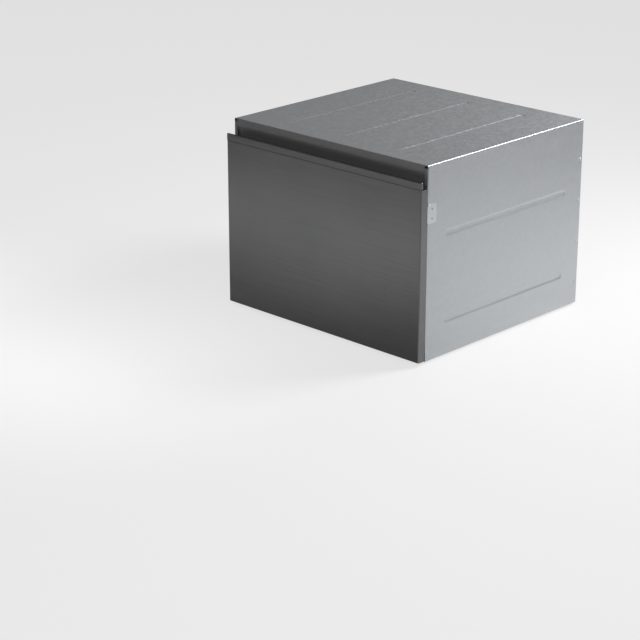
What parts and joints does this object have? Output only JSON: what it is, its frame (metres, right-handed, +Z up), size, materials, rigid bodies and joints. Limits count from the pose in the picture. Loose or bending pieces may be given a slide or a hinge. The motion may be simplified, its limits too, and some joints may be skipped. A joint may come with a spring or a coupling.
{
  "type": "dishwasher drawer",
  "caption": "Single built-in dish drawer: a washing tub with rack, lid, spray arm and controls on telescopic runners in a steel chassis.",
  "frame": {"origin": "middle of the footprint, on the floor that the feet rest on", "axes": "+X to the right seen from the front, +Y to the back (the drawer slides out along -Y), +Z up"},
  "size_m": [0.599, 0.573, 0.454],
  "materials": {
    "dark_steel": "dark fingerprint-resistant satin steel",
    "galvanised": "galvanised sheet",
    "zinc_steel": "bright zinc plate",
    "bright_steel": "satin stainless steel",
    "dark_plastic": "fine moulded texture",
    "black_plastic": "fine moulded texture",
    "grey_plastic": "fine moulded texture",
    "tub_plastic": "smooth moulded",
    "white_plastic": "smooth moulded",
    "rubber": "matt",
    "coated_wire": "nylon-coated wire",
    "display": "polished"
  },
  "bodies": {
    "chassis": {"chassis_wrapper": "galvanised", "rear_panel": "galvanised", "service_pocket": "black_plastic", "base_tray": "grey_plastic", "front_crossbeam": "galvanised", "front_fascia": "dark_plastic", "inlet_valve": "white_plastic", "drain_spigot": "grey_plastic", "mains_gland": "black_plastic", "power_module": "black_plastic", "foot_front_left": "rubber", "foot_front_right": "rubber", "foot_rear_left": "rubber", "foot_rear_right": "rubber", "side_trim_left": "dark_plastic", "side_trim_right": "dark_plastic", "mount_bracket_left": "zinc_steel", "mount_bracket_right": "zinc_steel", "runner_outer_left": "zinc_steel", "runner_outer_right": "zinc_steel", "lid_actuator_left": "grey_plastic", "lid_actuator_right": "grey_plastic"},
    "lid": {"lid": "grey_plastic", "lid_seal": "rubber", "lid_yoke_left": "white_plastic", "lid_yoke_right": "white_plastic"},
    "drawer": {"runner_inner_left": "zinc_steel", "runner_inner_right": "zinc_steel", "side_rail_left": "galvanised", "side_rail_right": "galvanised", "front_skin": "dark_steel", "handle_rail": "dark_steel", "front_core": "grey_plastic", "control_strip": "dark_plastic", "display_window": "display", "tub": "tub_plastic", "wash_motor": "black_plastic", "heater_plate": "bright_steel", "filter_plate": "bright_steel", "filter_basket": "white_plastic", "detergent_dispenser": "grey_plastic", "dish_rack": "coated_wire", "cutlery_basket": "grey_plastic"},
    "runner_middle_left": {"runner_middle_left": "zinc_steel"},
    "runner_middle_right": {"runner_middle_right": "zinc_steel"},
    "spray_arm": {"spray_arm": "grey_plastic"},
    "detergent_flap": {"detergent_flap": "white_plastic"},
    "rinse_cap": {"rinse_cap": "black_plastic"},
    "button_power": {"button_power": "grey_plastic"},
    "button_programme": {"button_programme": "grey_plastic"},
    "button_option": {"button_option": "grey_plastic"},
    "button_start": {"button_start": "grey_plastic"},
    "tine_row_1": {"tine_row_1": "coated_wire"},
    "tine_row_2": {"tine_row_2": "coated_wire"},
    "tine_row_3": {"tine_row_3": "coated_wire"},
    "cup_rack_left": {"cup_rack_left": "grey_plastic"},
    "cup_rack_right": {"cup_rack_right": "grey_plastic"}
  },
  "joints": [
    {"name": "drawer_slide", "type": "slide", "parent": "chassis", "child": "drawer", "axis": [0, -1, 0], "range_m": [0, 0.5]},
    {"name": "runner_left_slide", "type": "slide", "parent": "chassis", "child": "runner_middle_left", "axis": [0, -1, 0], "range_m": [0, 0.25]},
    {"name": "runner_right_slide", "type": "slide", "parent": "chassis", "child": "runner_middle_right", "axis": [0, -1, 0], "range_m": [0, 0.25]},
    {"name": "lid_drop", "type": "slide", "parent": "chassis", "child": "lid", "axis": [0, 0, -1], "range_m": [0, 0.006]},
    {"name": "spray_arm_spin", "type": "hinge", "parent": "drawer", "child": "spray_arm", "pos_m": [0, -0.002, 0.108], "axis": [0, 0, 1], "continuous": true},
    {"name": "detergent_flap_hinge", "type": "hinge", "parent": "drawer", "child": "detergent_flap", "pos_m": [-0.032, -0.2041, 0.3175], "axis": [-1, 0, 0], "range_deg": [0, 95]},
    {"name": "rinse_cap_turn", "type": "hinge", "parent": "drawer", "child": "rinse_cap", "pos_m": [0.05, -0.207, 0.346], "axis": [0, 1, 0], "range_deg": [0, 90]},
    {"name": "button_power_press", "type": "slide", "parent": "drawer", "child": "button_power", "axis": [0, 0, -1], "range_m": [0, 0.0015], "stiffness_N_per_m": 300},
    {"name": "button_programme_press", "type": "slide", "parent": "drawer", "child": "button_programme", "axis": [0, 0, -1], "range_m": [0, 0.0015], "stiffness_N_per_m": 300},
    {"name": "button_option_press", "type": "slide", "parent": "drawer", "child": "button_option", "axis": [0, 0, -1], "range_m": [0, 0.0015], "stiffness_N_per_m": 300},
    {"name": "button_start_press", "type": "slide", "parent": "drawer", "child": "button_start", "axis": [0, 0, -1], "range_m": [0, 0.0015], "stiffness_N_per_m": 300},
    {"name": "tine_row_1_fold", "type": "hinge", "parent": "drawer", "child": "tine_row_1", "pos_m": [-0.188, -0.002, 0.1362], "axis": [0, 1, 0], "range_deg": [0, 80]},
    {"name": "tine_row_2_fold", "type": "hinge", "parent": "drawer", "child": "tine_row_2", "pos_m": [-0.11, -0.002, 0.1362], "axis": [0, 1, 0], "range_deg": [0, 80]},
    {"name": "tine_row_3_fold", "type": "hinge", "parent": "drawer", "child": "tine_row_3", "pos_m": [-0.032, -0.002, 0.1362], "axis": [0, 1, 0], "range_deg": [0, 80]},
    {"name": "cup_rack_left_fold", "type": "hinge", "parent": "drawer", "child": "cup_rack_left", "pos_m": [-0.245, -0.002, 0.288], "axis": [0, -1, 0], "range_deg": [0, 80]},
    {"name": "cup_rack_right_fold", "type": "hinge", "parent": "drawer", "child": "cup_rack_right", "pos_m": [0.245, -0.002, 0.288], "axis": [0, 1, 0], "range_deg": [0, 80]}
  ],
  "couplings": [
    {"joint": "runner_left_slide", "follows": "drawer_slide", "ratio": 0.5},
    {"joint": "runner_right_slide", "follows": "drawer_slide", "ratio": 0.5}
  ]
}
